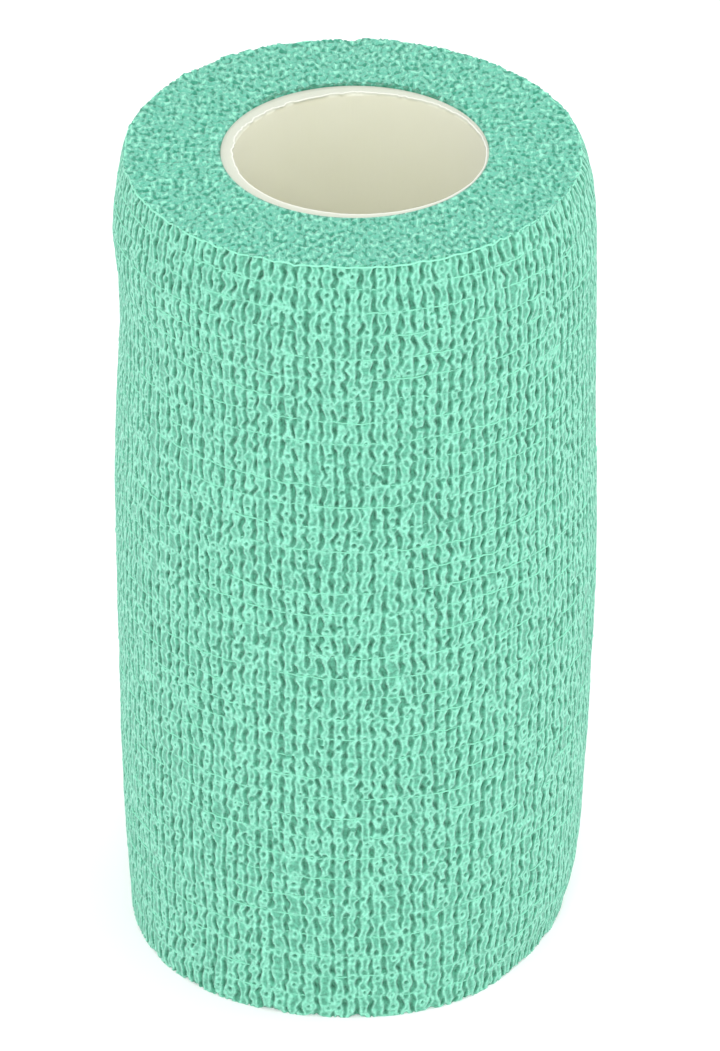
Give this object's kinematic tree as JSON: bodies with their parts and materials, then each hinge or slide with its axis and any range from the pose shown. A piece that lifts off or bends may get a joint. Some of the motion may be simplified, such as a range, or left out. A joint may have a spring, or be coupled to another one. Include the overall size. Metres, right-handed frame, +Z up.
{
  "type": "cohesive bandage roll",
  "caption": "Roll of crinkled self-adhering stretch bandage, wound tight on a plain open plastic tube and standing on one end.",
  "frame": {"origin": "centre of the roll's foot, on the surface that it stands on", "axes": "+Z up the roll's axis; the cloth's pressed-down loose end is at the back, at +Y"},
  "size_m": [0.0555, 0.0556, 0.1],
  "materials": {
    "cohesive_cloth": "matte crinkled stretch cloth, mint green",
    "core_plastic": "smooth ivory plastic, slightly translucent"
  },
  "bodies": {
    "root": {"wound_cloth": "cohesive_cloth", "core_tube": "core_plastic"}
  },
  "joints": []
}
